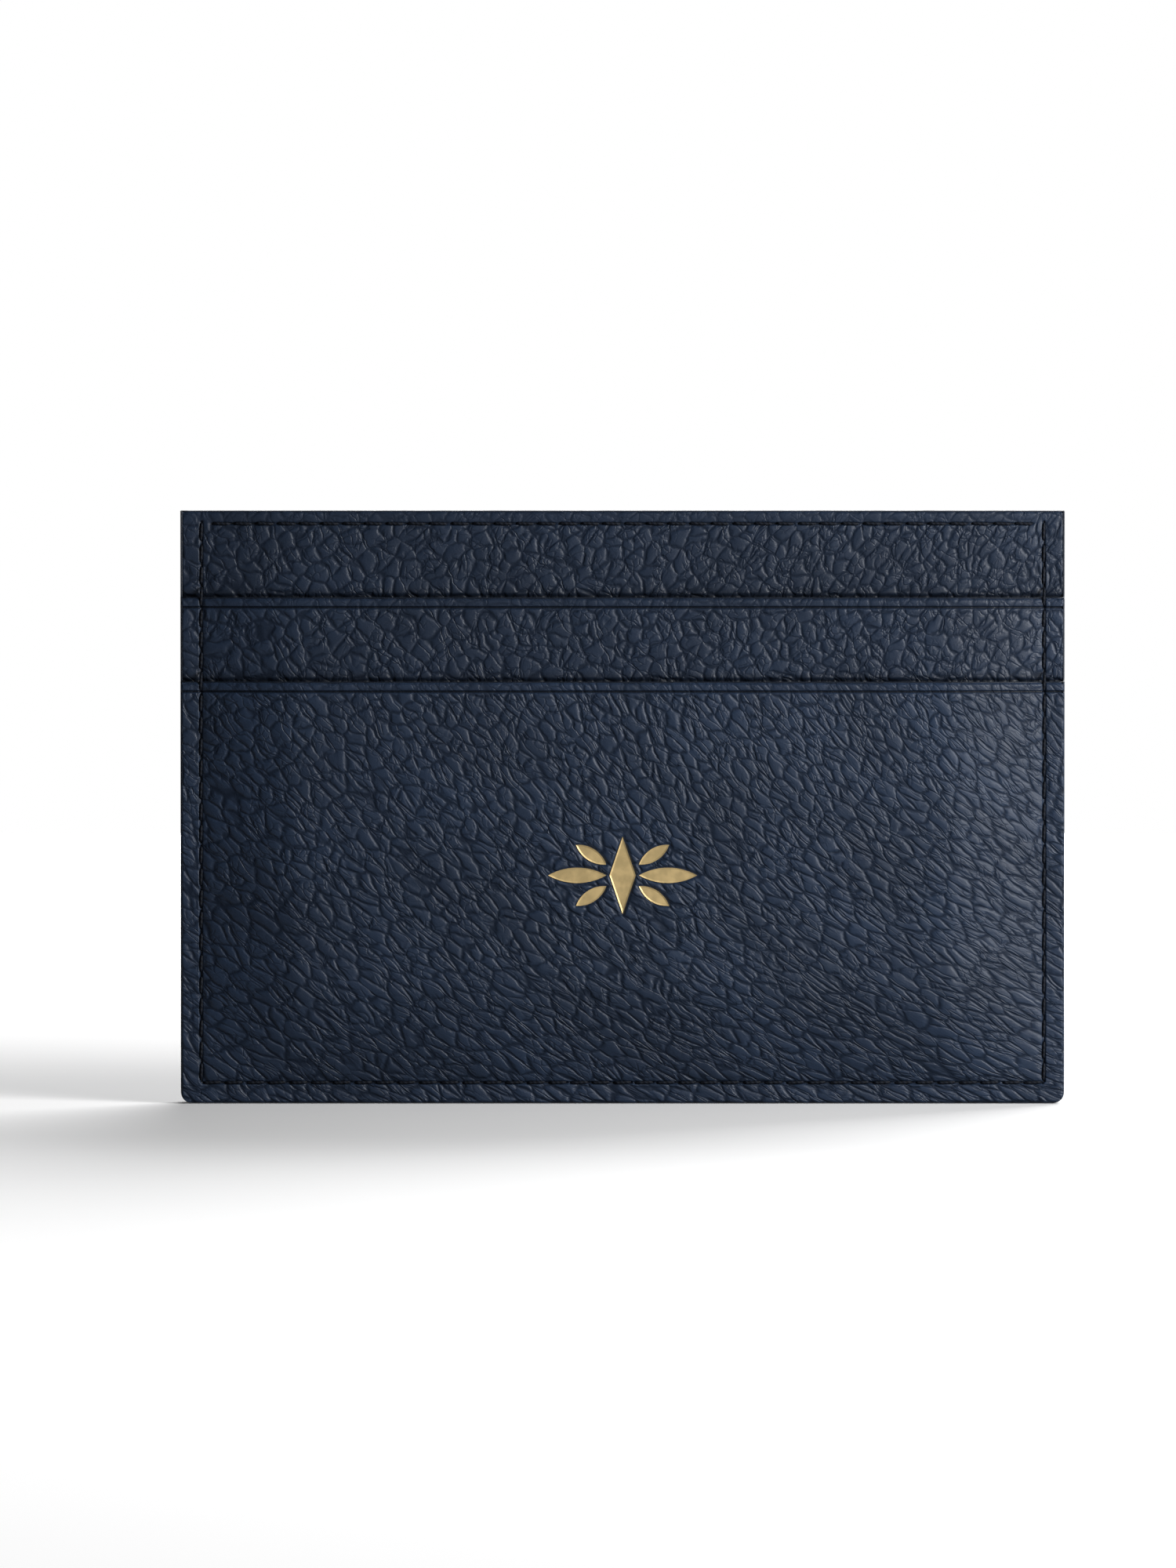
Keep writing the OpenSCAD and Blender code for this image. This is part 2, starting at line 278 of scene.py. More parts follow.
def pebbled_hide_group():
    """Grain of a pebbled hide: its fine height, how deep in a crease a point is, and a slow mottle."""
    tree, given, out = group_tree(
        "pebbled hide",
        [("Place", "NodeSocketVector", None), ("Pressed", "NodeSocketFloat", 0.0)],
        [("Height", "NodeSocketFloat"), ("Crease", "NodeSocketFloat"), ("Mottle", "NodeSocketFloat")],
    )
    place, pressed = given["Place"], given["Pressed"]
    broad, edge, bent = pebble_height(tree, place)
    crease = ramp(tree, edge, 0.0, 0.15, 0.85, 0.0)
    small_edge = cells_at(tree, bend(tree, bent, 2.2, 0.3), 2.1 / PEBBLE, "DISTANCE_TO_EDGE")
    patchy = ramp(tree, noise_at(tree, place, 0.6, detail=1.0)[0], 0.38, 0.6)
    faint = math_node(tree, "MULTIPLY", ramp(tree, small_edge, 0.0, 0.2, 1.0, 0.0), patchy)
    along = vector_math(tree, "MULTIPLY", bent, WRINKLE_RUN)
    wrinkle = noise_at(tree, along, 1.0, detail=4.0, roughness=0.62)[0]
    pores = noise_at(tree, place, 14.0)[0]
    height = math_node(tree, "MULTIPLY", broad, PEBBLE_SHARE)
    height = math_node(tree, "MULTIPLY_ADD", crease, -CREASE_SHARE, height)
    height = math_node(tree, "MULTIPLY_ADD", faint, -FAINT_SHARE, height)
    flat = ramp(tree, pressed, 0.0, 1.0, 1.0, 0.22)
    height = math_node(tree, "MULTIPLY", height, flat)
    height = math_node(tree, "MULTIPLY_ADD", wrinkle, WRINKLE_SHARE, height)
    height = math_node(tree, "MULTIPLY_ADD", pores, PORE_SHARE, height)
    deep = math_node(tree, "MAXIMUM", crease, math_node(tree, "MULTIPLY", faint, 0.5))
    tree.links.new(height, out["Height"])
    tree.links.new(math_node(tree, "MULTIPLY", deep, flat), out["Crease"])
    tree.links.new(noise_at(tree, place, 0.12, detail=3.0)[0], out["Mottle"])
    return tree


def relief_modifier_tree():
    """Geometry nodes that raise the pebbles on a panel's outer face, by its own lift attribute."""
    tree = bpy.data.node_groups.new("raise pebbles", "GeometryNodeTree")
    tree.interface.new_socket("Geometry", in_out="INPUT", socket_type="NodeSocketGeometry")
    tree.interface.new_socket("Geometry", in_out="OUTPUT", socket_type="NodeSocketGeometry")
    given, out = tree.nodes.new("NodeGroupInput"), tree.nodes.new("NodeGroupOutput")
    place = node(tree, "GeometryNodeInputNamedAttribute", {"Name": "hide"}, data_type="FLOAT_VECTOR")
    lift = node(tree, "GeometryNodeInputNamedAttribute", {"Name": "lift"}, data_type="FLOAT_VECTOR")
    height = pebble_height(tree, place.outputs[0])[0]
    offset = vector_math(tree, "SCALE", lift.outputs[0], height)
    moved = node(tree, "GeometryNodeSetPosition", {"Geometry": given.outputs[0], "Offset": offset})
    tree.links.new(moved.outputs[0], out.inputs[0])
    return tree


# ---- materials ----

def new_material(name):
    """A material with its Principled shader."""
    material = bpy.data.materials.new(name)
    material.use_nodes = True
    return material, material.node_tree, material.node_tree.nodes["Principled BSDF"]


def bump(tree, shader, height, depth):
    made = node(tree, "ShaderNodeBump", {"Height": height, "Distance": depth, "Strength": 1.0})
    tree.links.new(made.outputs[0], shader.inputs["Normal"])


def attribute(tree, name):
    return node(tree, "ShaderNodeAttribute", attribute_name=name).outputs


def object_place(tree):
    return node(tree, "ShaderNodeTexCoord").outputs["Object"]


def shade(colour, share):
    return grown(c * share for c in colour)


def leather_material():
    material, tree, shader = new_material("pebbled leather")
    place, pressed = attribute(tree, "hide")["Vector"], attribute(tree, "pressed")["Fac"]
    grain = node(tree, "ShaderNodeGroup", node_tree=bpy.data.node_groups["pebbled hide"])
    tree.links.new(place, grain.inputs["Place"])
    tree.links.new(pressed, grain.inputs["Pressed"])
    dye = grown(colours().leather)
    worn = shade(colours().leather, 1.35)
    mottled = mix_colour(tree, ramp(tree, grain.outputs["Mottle"], 0.3, 0.7), dye, worn)
    # painted light: each panel's colour scaled by its own brightness factor
    painted_light = attribute(tree, "painted_light")["Fac"]
    painted_lit = node(tree, "ShaderNodeHueSaturation", {"Color": mottled, "Value": painted_light}).outputs[0]
    crease = grain.outputs["Crease"]
    # painted shade: the colour darkens in the grain's creases
    colour = mix_colour(tree, crease, painted_lit, grown(colours().crease))
    # painted shade: a dark colour laid in the pressed crease line, at the stitches, in the tuck under the
    # next mouth and just above each mouth
    painted_shade = attribute(tree, "painted_shade")["Fac"]
    colour = mix_colour(tree, painted_shade, colour, shade(colours().crease, 0.35))
    tree.links.new(colour, shader.inputs["Base Color"])
    tree.links.new(ramp(tree, crease, 0.0, 1.0, 0.47, 0.62), shader.inputs["Roughness"])
    tree.links.new(ramp(tree, crease, 0.0, 1.0, 0.38, 0.16), shader.inputs["Specular IOR Level"])
    bump(tree, shader, grain.outputs["Height"], 0.11 * MM)
    return material


def split_leather_material():
    material, tree, shader = new_material("split leather")
    fibre = noise_at(tree, object_place(tree), 4000.0, detail=5.0)[0]
    dark, light = (0.03, 0.036, 0.05, 1), (0.06, 0.068, 0.09, 1)
    tree.links.new(mix_colour(tree, fibre, dark, light), shader.inputs["Base Color"])
    shader.inputs["Roughness"].default_value = 0.85
    bump(tree, shader, fibre, 0.05 * MM)
    return material


def edge_paint_material():
    material, tree, shader = new_material("edge paint")
    waves = noise_at(tree, object_place(tree), 700.0, detail=3.0)[0]
    paint = colours().paint
    colour = mix_colour(tree, waves, grown(paint), shade(paint, 1.5))
    tree.links.new(colour, shader.inputs["Base Color"])
    tree.links.new(ramp(tree, waves, 0.3, 0.7, 0.4, 0.52), shader.inputs["Roughness"])
    shader.inputs["Specular IOR Level"].default_value = 0.3
    bump(tree, shader, waves, 0.04 * MM)
    return material


WEAVE_PITCH = 0.28 * MM
PLY_PITCH = 0.55 * MM


def cloth_material():
    """Fine plain weave: two sets of round threads that pass over and under each other."""
    material, tree, shader = new_material("lining cloth")
    coords = object_place(tree)
    place = node(tree, "ShaderNodeSeparateXYZ", {0: coords}).outputs
    turns = math.tau / WEAVE_PITCH
    warp = math_node(tree, "SINE", math_node(tree, "MULTIPLY", place[0], turns))
    weft = math_node(tree, "SINE", math_node(tree, "MULTIPLY", place[2], turns))
    weave = math_node(tree, "MULTIPLY", warp, weft)
    height = math_node(tree, "MULTIPLY_ADD", weave, 0.5, 0.5)
    slub = noise_at(tree, coords, 900.0)[0]
    height = math_node(tree, "MULTIPLY_ADD", slub, 0.3, height)
    cloth = colours().cloth
    # painted shade and light: darker where the weave sinks and lighter on its tops; the slubs add real
    # unevenness
    colour = mix_colour(tree, ramp(tree, height, 0.1, 1.1), shade(cloth, 0.55), shade(cloth, 1.35))
    tree.links.new(colour, shader.inputs["Base Color"])
    shader.inputs["Roughness"].default_value = 0.8
    bump(tree, shader, height, 0.05 * MM)
    return material


def thread_material():
    """Waxed thread: the plies wind round it along its own ply coordinates."""
    material, tree, shader = new_material("waxed thread")
    ply = node(tree, "ShaderNodeSeparateXYZ", {0: attribute(tree, "ply")["Vector"]}).outputs
    turn = math_node(tree, "MULTIPLY_ADD", ply[0], math.tau / PLY_PITCH, ply[1])
    strand = math_node(tree, "MULTIPLY_ADD", math_node(tree, "SINE", turn), 0.5, 0.5)
    thread = colours().thread
    # painted shade and light: darker between the plies and lighter on them
    colour = mix_colour(tree, strand, shade(thread, 0.6), shade(thread, 1.4))
    tree.links.new(colour, shader.inputs["Base Color"])
    shader.inputs["Roughness"].default_value = 0.68
    shader.inputs["Specular IOR Level"].default_value = 0.22
    bump(tree, shader, strand, 0.03 * MM)
    return material


def foil_material():
    material, tree, shader = new_material("metal foil")
    worn = noise_at(tree, object_place(tree), 900.0, detail=4.0)[0]
    foil = colours().foil
    colour = mix_colour(tree, ramp(tree, worn, 0.35, 0.65), shade(foil, 0.86), grown(foil))
    tree.links.new(colour, shader.inputs["Base Color"])
    shader.inputs["Metallic"].default_value = 0.45
    tree.links.new(ramp(tree, worn, 0.3, 0.7, 0.32, 0.46), shader.inputs["Roughness"])
    bump(tree, shader, worn, 0.03 * MM)
    return material


MATERIALS = {}


def finish_of(slot):
    """The material of one of the record's slots."""
    makers = {
        "navy_leather": leather_material,
        "filler_leather": split_leather_material,
        "edge_paint": edge_paint_material,
        "lining_cloth": cloth_material,
        "navy_thread": thread_material,
        "gold_foil": foil_material,
    }
    if slot not in MATERIALS:
        MATERIALS[slot] = makers[slot]()
    return MATERIALS[slot]


# ---- meshes ----

def ease(t, power):
    return 1 - (1 - np.clip(t, 0, 1)) ** power


def dip(distance, width):
    """A smooth dip, 1 at distance 0 and 0 from width on."""
    t = np.clip(1 - np.abs(distance) / width, 0, 1)
    return t * t * (3 - 2 * t)


def crown(x, z):
    """How far a point has risen from the seams, 0 at the side and bottom stitches to 1 over the pockets."""
    s = sizes()
    from_side = ease((SEAM_X - np.abs(x)) / s.crown_width, s.crown_fullness)
    from_floor = ease((z - SEAM_INSET) / s.crown_width, s.crown_fullness)
    return from_side * from_floor


def lines(spots, step, close_step, reach):
    """Coordinates from the first spot to the last, one on each: step apart, closer within reach of a spot."""
    made = [spots[0]]
    for start, end in zip(spots, spots[1:]):
        length = end - start
        close = min(reach, length / 2)
        near = max(1, math.ceil(close / close_step - 0.01)) if close else 0
        middle = math.ceil((length - 2 * close) / step - 0.01)
        made += [start + close * (i + 1) / near for i in range(near)]
        made += [start + close + (length - 2 * close) * (i + 1) / middle for i in range(middle)]
        made += [end - close + close * (i + 1) / near for i in range(near)]
    return made


def slab(xs, zs, cuts=0):
    """Closed slab with grid lines at xs and zs, its outer face cut finer. Y is 1 on the inner face."""
    bm = bmesh.new()
    columns, rows = len(xs) - 1, len(zs) - 1
    bmesh.ops.create_grid(bm, x_segments=columns, y_segments=rows, size=0.5)
    for v in bm.verts:
        v.co = (xs[round((v.co.x + 0.5) * columns)], 0.0, zs[round((v.co.y + 0.5) * rows)])
    bm.normal_update()
    bmesh.ops.solidify(bm, geom=bm.faces[:], thickness=1.0)
    inner_y = max((v.co.y for v in bm.verts), key=abs)
    for v in bm.verts:
        v.co.y = 1.0 if abs(v.co.y - inner_y) < 0.5 else 0.0
    if cuts:
        outer = [e for e in bm.edges if all(v.co.y < 0.5 for v in e.verts)]
        bmesh.ops.subdivide_edges(bm, edges=outer, cuts=cuts, use_grid_fill=True)
    bmesh.ops.recalc_face_normals(bm, faces=bm.faces[:])
    return mesh_from(bm)


def mesh_from(bm):
    mesh = bpy.data.meshes.new("leatherwork")
    bm.to_mesh(mesh)
    bm.free()
    return mesh


def bmesh_of(mesh):
    bm = bmesh.new()
    bm.from_mesh(mesh)
    return bm


def coordinates(mesh):
    co = np.empty(len(mesh.vertices) * 3, np.float32)
    mesh.vertices.foreach_get("co", co)
    return co.reshape(-1, 3).astype(float)


def set_coordinates(mesh, co):
    mesh.vertices.foreach_set("co", np.ascontiguousarray(co, np.float32).ravel())
    mesh.update()


def store(mesh, name, values, kind="FLOAT"):
    values = np.ascontiguousarray(values, np.float32)
    made = mesh.attributes.new(name, kind, "POINT")
    made.data.foreach_set("vector" if kind == "FLOAT_VECTOR" else "value", values.ravel())


def new_piece(node_name, ending, mesh, slot):
    """An object on the one body, with its finish, that stands for a CAD node and takes its name from it."""
    mesh.polygons.foreach_set("use_smooth", [True] * len(mesh.polygons))
    piece = bpy.data.objects.new(f"{node_name}_{ending}", mesh)
    mesh.name = piece.name
    bpy.context.scene.collection.objects.link(piece)
    mesh.materials.append(finish_of(slot))
    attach(piece, BODY)
    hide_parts(node_name)
    return piece


def turn_faces(mesh, operator):
    """Runs a bmesh operator that turns faces on the whole mesh."""
    bm = bmesh_of(mesh)
    operator(bm, faces=bm.faces[:])
    bm.to_mesh(mesh)
    bm.free()


def round_corner(x, z):
    """Moves the points of a square bottom corner onto a round one."""
    r = CORNER_R - PAINT_T
    cx, cz = PANEL_HALF_W - r, PAINT_T + r
    u, v = np.clip((np.abs(x) - cx) / r, 0, 1), np.clip((cz - z) / r, 0, 1)
    in_corner = (u > 0) & (v > 0)
    new_x = np.sign(x) * (cx + u * np.sqrt(1 - v * v / 2) * r)
    new_z = cz - v * np.sqrt(1 - u * u / 2) * r
    return np.where(in_corner, new_x, x), np.where(in_corner, new_z, z)


HIDE_CENTRE = (103.0, 148.0)  # the hide's fibres run round this far point, in mm
HIDE_RADIUS = 160.0
HIDE_START = -2.55  # the angle, seen from there, of a panel's upper left corner
HIDE_CUTS = {
    # stretch along the fibres at that corner, how much it grows for each radian, and how narrow likewise
    "body": (1.5, 0.3, 0.62, 0.1),
    "strip": (1.5, 0.4, 0.64, 0.1),
    "face": (1.5, 2.0, 0.76, 0.72),
}


def hide_place(x, z, layer, offset):
    """Coordinates on the hide in millimetres, with the pebbles drawn out along the fibres."""
    dx, dz = x / MM - HIDE_CENTRE[0], z / MM - HIDE_CENTRE[1]
    across = np.hypot(dx, dz) - HIDE_RADIUS
    round_to = np.arctan2(dz, dx) - HIDE_START
    stretch, stretching, narrow, narrowing = HIDE_CUTS[layer]
    across = across * np.clip(narrow + narrowing * round_to, 0.55, 1.2)
    along = np.log(np.maximum(stretch + stretching * round_to, 0.8)) * HIDE_RADIUS / stretching
    return np.stack([across + offset, along + 1.7 * offset, np.zeros_like(x)], axis=1)


def slow_noise(x, z, size, seed):
    return np.array([noise.noise(Vector((a / size, b / size, seed))) for a, b in zip(x, z)])


WELD = 1e-6


def stitch_boxes(cad_node):
    """Low and high corners of each stitch in a CAD node of stitches, from left to right."""
    bm = bmesh_of(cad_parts[cad_node].data)
    bmesh.ops.remove_doubles(bm, verts=bm.verts[:], dist=WELD)
    waiting, found = set(bm.verts), []
    while waiting:
        stitch, reached = set(), [waiting.pop()]
        while reached:
            v = reached.pop()
            stitch.add(v)
            linked = {e.other_vert(v) for e in v.link_edges} & waiting
            waiting -= linked
            reached.extend(linked)
        co = np.array([v.co for v in stitch])
        found.append((Vector(co.min(0)), Vector(co.max(0))))
    bm.free()
    return sorted(found, key=lambda corners: tuple(corners[0]))


VALLEY_REACH, VALLEY_SHARE = 0.9 * MM, 0.25  # the shallow valley beside a seam, on the pocket's side of it
HOLE_REACH = 0.28 * MM
GAP_SHARPNESS = 1.8  # how much faster the pull ends along the row than across it


def seam_pull(x, z, stitches):
    """How far the seams pull the leather in, 0 to 1: shallow along each row, deep at the stitches."""
    pull = np.zeros_like(x)
    on_margin = np.maximum(np.abs(x) - SEAM_X, SEAM_INSET - z) > 0
    for lo, hi in stitches:
        upright = hi.z - lo.z > hi.x - lo.x
        along, across = (z, x) if upright else (x, z)
        start, end = (lo.z, hi.z) if upright else (lo.x, hi.x)
        line = (lo.x + hi.x) / 2 if upright else (lo.z + hi.z) / 2
        off = np.maximum(np.maximum(start - along, along - end), 0)
        near = np.hypot(GAP_SHARPNESS * off, across - line)
        pull = np.maximum(pull, np.where(on_margin, 0.0, VALLEY_SHARE) * dip(near, VALLEY_REACH))
        pull = np.maximum(pull, dip(near, HOLE_REACH))
    return pull


# ---- leather panels ----

PAINTED_PANEL_LIGHT = {"body": 0.95, "strip": 1.02, "face": 1.2}  # painted light and shade: each panel's leather brightened or darkened, the lower pocket panel lighter and the body panel darker

MOUTH_ROLL, MARGIN_PUFF, UNEVENNESS = 0.06 * MM, 0.02 * MM, 0.06 * MM
SLOW_WAVE = 14 * MM
CREASE_LINE_HALF = 0.19 * MM
ARRIS_WIDTH, ARRIS_DROP = 0.28 * MM, 0.16 * MM
TUCK_WIDTH, TUCK_DROP = 0.5 * MM, 0.22 * MM  # the dip of a panel where the next one's mouth lies on it
TUCK_RISE = 0.05 * MM
SHADE_WIDTH, SHADE_SHARE = 1.4 * MM, 0.65  # painted shadow: darker colour on the leather just above a mouth
STAMP_REACH, STAMP_DROP = 0.3 * MM, 0.14 * MM


def raise_grain(piece):
    """Applies the pebble relief to a panel, and leaves a plain mesh."""
    piece.modifiers.new("grain", "NODES").node_group = bpy.data.node_groups["raise pebbles"]
    graph = bpy.context.evaluated_depsgraph_get()
    smooth, raised = piece.data, bpy.data.meshes.new_from_object(piece.evaluated_get(graph))
    piece.modifiers.clear()
    piece.data = raised
    bpy.data.meshes.remove(smooth)
    raised.name = piece.name


def press_of_foil(x, z):
    """1 under the stamped ornament, falling to 0 just outside it."""
    bm = bmesh_of(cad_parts["front_foil_ornament"].data)
    flat = Matrix.Scale(0, 4, (0, 1, 0))
    bmesh.ops.transform(bm, matrix=flat, verts=bm.verts[:])
    tree = BVHTree.FromBMesh(bm)
    bm.free()
    lo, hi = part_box("front_foil_ornament")
    reach = STAMP_REACH
    gap = np.full_like(x, reach)
    inside = (x > lo.x - reach) & (x < hi.x + reach) & (z > lo.z - reach) & (z < hi.z + reach)
    for i in np.nonzero(inside)[0]:
        gap[i] = tree.find_nearest(Vector((x[i], 0, z[i])))[3]
    return dip(gap, reach)


def grain_pressed_flat(x, z, mouth, pull, creased):
    """How flat the grain is pressed, 0 to 1: in the edge bands, on the margins and at the stitches."""
    below_mouth = mouth - z
    drop = sizes().crease_drop
    if creased:
        pressed = np.maximum(np.where(below_mouth < drop, 0.6, 0.0), 0.85 * dip(below_mouth - drop, 0.5 * MM))
    else:
        pressed = 0.6 * np.clip((z - TOP_ROW_Z + 0.4 * MM) / (0.5 * MM), 0, 1)
    margin = np.clip((np.abs(x) - SEAM_X) / SEAM_INSET, 0, 1)
    pressed = np.maximum(pressed, 0.2 * np.clip(margin * 8, 0, 1))
    return np.maximum(pressed, np.minimum(1, 1.3 * pull))


def leather_panel(side, name, layer, mouth, xs, zs, offset, seams=("seam_stitching",), stamped=False):
    """One leather panel of a side: crowned, drawn in along its seams, creased under its mouth and pebbled."""
    s = sizes()
    sign = SIDES[side]
    mesh = slab(xs, zs, FACE_CUTS)
    co = coordinates(mesh)
    x, z = round_corner(co[:, 0], co[:, 2])
    outer = co[:, 1] < 0.5
    rise = crown(x, z)
    depth = LAYERS[layer].depth(rise, outer.astype(float))
    stitches = [b for seam in seams for b in stitch_boxes(f"{side}_{seam}")]
    pull = seam_pull(x, z, stitches)
    below_mouth = mouth - z
    creased = layer != "body"
    if creased:
        crease = dip(below_mouth - s.crease_drop, CREASE_LINE_HALF)
        roll = np.sin(math.pi * np.clip(below_mouth / s.crease_drop, 0, 1))
    else:
        crease = roll = np.zeros_like(x)
    to_edge = np.minimum(PANEL_HALF_W - np.abs(x), z - PAINT_T)
    arris = dip(np.minimum(to_edge, below_mouth - PAINT_T), ARRIS_WIDTH)
    margin = np.clip((np.abs(x) - SEAM_X) / SEAM_INSET, 0, 1)
    floor_margin = np.clip((SEAM_INSET - z) / SEAM_INSET, 0, 1)
    puff = np.sin(math.pi * np.maximum(margin, floor_margin))
    slow = slow_noise(x, z, SLOW_WAVE, offset) * rise
    pressed = grain_pressed_flat(x, z, mouth, pull, creased)
    tuck, painted_mouth_shadow = np.zeros_like(x), np.zeros_like(x)
    for other in (UPPER_MOUTH, LOWER_MOUTH):
        if other < mouth:
            tuck = np.maximum(tuck, dip(z - other - TUCK_RISE, TUCK_WIDTH))
            painted_mouth_shadow = np.maximum(painted_mouth_shadow, SHADE_SHARE * dip(z - other, SHADE_WIDTH))
    lift = (1 - pressed) * s.relief
    change = MOUTH_ROLL * roll + MARGIN_PUFF * puff + UNEVENNESS * slow - s.seam_depth * pull
    change -= s.crease_depth * crease + ARRIS_DROP * arris + TUCK_DROP * tuck
    if stamped:
        stamp = press_of_foil(x, z)
        lift *= 1 - stamp
        pressed = np.maximum(pressed, stamp)
        change = change * (1 - stamp) - STAMP_DROP * stamp
    depth = depth + np.where(outer, change, 0)
    set_coordinates(mesh, np.stack([x, sign * depth, z], axis=1))
    if sign > 0:
        turn_faces(mesh, bmesh.ops.reverse_faces)
    store(mesh, "hide", hide_place(x * -sign, z, layer, offset), "FLOAT_VECTOR")
    store(mesh, "pressed", pressed)
    # mask of painted shade: the crease line, the stitch holes, the tuck under the next mouth and the painted
    # shadow above it
    painted_shade = np.maximum(np.maximum(crease, pull ** 2), np.maximum(tuck, painted_mouth_shadow))
    store(mesh, "painted_shade", painted_shade * outer)
    store(mesh, "painted_light", np.full_like(x, PAINTED_PANEL_LIGHT[layer]))
    push = np.zeros((len(x), 3))
    push[:, 1] = np.where(outer, sign * lift, 0)
    store(mesh, "lift", push, "FLOAT_VECTOR")
    raise_grain(new_piece(f"{side}_{name}", "hide", mesh, "navy_leather"))


COARSE, FINE, FINE_REACH = 1.3 * MM, 0.4 * MM, 0.7 * MM  # a panel's grid, and where it is closer
FACE_CUTS = 3
SLIT = 0.1 * MM  # from a mouth to the grid line that follows it on the panel behind


def panel_lines(*spots):
    return lines(sorted(spots), COARSE, FINE, FINE_REACH)


def panel_columns():
    return panel_lines(-PANEL_HALF_W, -SEAM_X, SEAM_X, PANEL_HALF_W)


def closer_between(spots, start, end, step):
    """The spots, with those near start to end replaced by ones a step apart."""
    kept = [v for v in spots if not start - STAMP_REACH < v < end + STAMP_REACH]
    return sorted(kept + list(np.arange(start, end, step)) + [end])


class HOLDER_OT_body_panels(bpy.types.Operator):
    """Front and back body panels, which show above the upper slot"""

    bl_idname = "holder.body_panels"
    bl_label = "Body Panels"

    def execute(self, context):
        first_shown = UPPER_MOUTH - 2 * MM
        hidden = [PAINT_T + (first_shown - PAINT_T) * i / 8 for i in range(8)]
        rows = hidden + panel_lines(first_shown, UPPER_MOUTH + SLIT, TOP_ROW_Z, TOP - PAINT_T)
        for side, offset in (("front", 11.3), ("back", 71.9)):
            leather_panel(side, "body_panel", "body", TOP, panel_columns(), rows, offset,
                          ("top_stitching", "seam_stitching"))
        return {"FINISHED"}


class HOLDER_OT_upper_strips(bpy.types.Operator):
    """Upper pocket strips, whose top edge is the upper slot's mouth"""

    bl_idname = "holder.upper_strips"
    bl_label = "Upper Pocket Strips"

    def execute(self, context):
        crease_z = UPPER_MOUTH - sizes().crease_drop
        rows = panel_lines(STRIP_FOOT, LOWER_MOUTH + SLIT, crease_z, UPPER_MOUTH - PAINT_T)
        for side, offset in (("front", 133.7), ("back", 207.1)):
            leather_panel(side, "upper_pocket_strip", "strip", UPPER_MOUTH, panel_columns(), rows, offset)
        return {"FINISHED"}


class HOLDER_OT_lower_panels(bpy.types.Operator):
    """Lower pocket panels, the front one with the stamp of the ornament"""

    bl_idname = "holder.lower_panels"
    bl_label = "Lower Pocket Panels"

    def execute(self, context):
        crease_z = LOWER_MOUTH - sizes().crease_drop
        rows, columns = panel_lines(PAINT_T, SEAM_INSET, crease_z, LOWER_MOUTH - PAINT_T), panel_columns()
        lo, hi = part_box("front_foil_ornament")
        leather_panel("front", "lower_pocket_panel", "face", LOWER_MOUTH,
                      closer_between(columns, lo.x, hi.x, 0.62 * MM),
                      closer_between(rows, lo.z, hi.z, 0.6 * MM), 0.0, stamped=True)
        leather_panel("back", "lower_pocket_panel", "face", LOWER_MOUTH, columns, rows, 301.3)
        return {"FINISHED"}


# ---- cloth ----

CLOTH_STEP = 1.5 * MM
FOLLOW_UP, FOLLOW_RUN = 6 * MM, 3 * MM  # where a liner leaves the body panel for its strip


def cloth_sheet(side, name, layer, zs, half_width):
    """A thin sheet of lining cloth that follows its layer's crown. half_width gives its edge at a height."""
    sign = SIDES[side]
    mesh = slab(lines([-1.0, 1.0], 0.016, 0.016, 0), zs)
    co = coordinates(mesh)
    z = co[:, 2]
    x, z = round_corner(co[:, 0] * half_width(z), z)
    outer = co[:, 1] < 0.5
    depth = LAYERS[layer].depth(crown(x, z), outer.astype(float))
    if layer == "liner":
        body = LAYERS["body"].depth(crown(x, z), 1.0) + LAYERS["liner"].thickness * outer
        down = np.clip((LINER_FOOT + FOLLOW_UP - z) / FOLLOW_RUN, 0, 1)
        depth = depth + (body - depth) * down * down * (3 - 2 * down)
    set_coordinates(mesh, np.stack([x, sign * depth, z], axis=1))
    if sign > 0:
        turn_faces(mesh, bmesh.ops.reverse_faces)
    piece = new_piece(f"{side}_{name}", "cloth", mesh, "lining_cloth")


class HOLDER_OT_body_linings(bpy.types.Operator):
    """Cloth linings of the centre pocket"""

    bl_idname = "holder.body_linings"
    bl_label = "Body Linings"

    def execute(self, context):
        rows = lines([PAINT_T, TOP - PAINT_T], CLOTH_STEP, CLOTH_STEP, 0)
        for side in SIDES:
            cloth_sheet(side, "body_lining", "lining", rows, lambda z: PANEL_HALF_W)
        return {"FINISHED"}


class HOLDER_OT_pocket_liners(bpy.types.Operator):
    """T-shaped cloth liners of the upper pockets"""

    bl_idname = "holder.pocket_liners"
    bl_label = "Pocket Liners"

    def execute(self, context):
        tongue = high("front_liner_stitching", 0) + 2 * MM
        rows = lines([LINER_FOOT, STRIP_FOOT, UPPER_MOUTH - PAINT_T], CLOTH_STEP, 0.2 * MM, 0.3 * MM)

        def half_width(z):
            return np.where(z < STRIP_FOOT - 0.1 * MM, tongue, PANEL_HALF_W)

        for side in SIDES:
            cloth_sheet(side, "upper_pocket_liner", "liner", rows, half_width)
        return {"FINISHED"}


# ---- edge paint ----

BEAD_HEIGHT, BEAD_FOOT = 1.9, 1.6  # in thicknesses of the paint; the foot overlaps the leather
BEAD_SET_BACK = 0.12 * MM


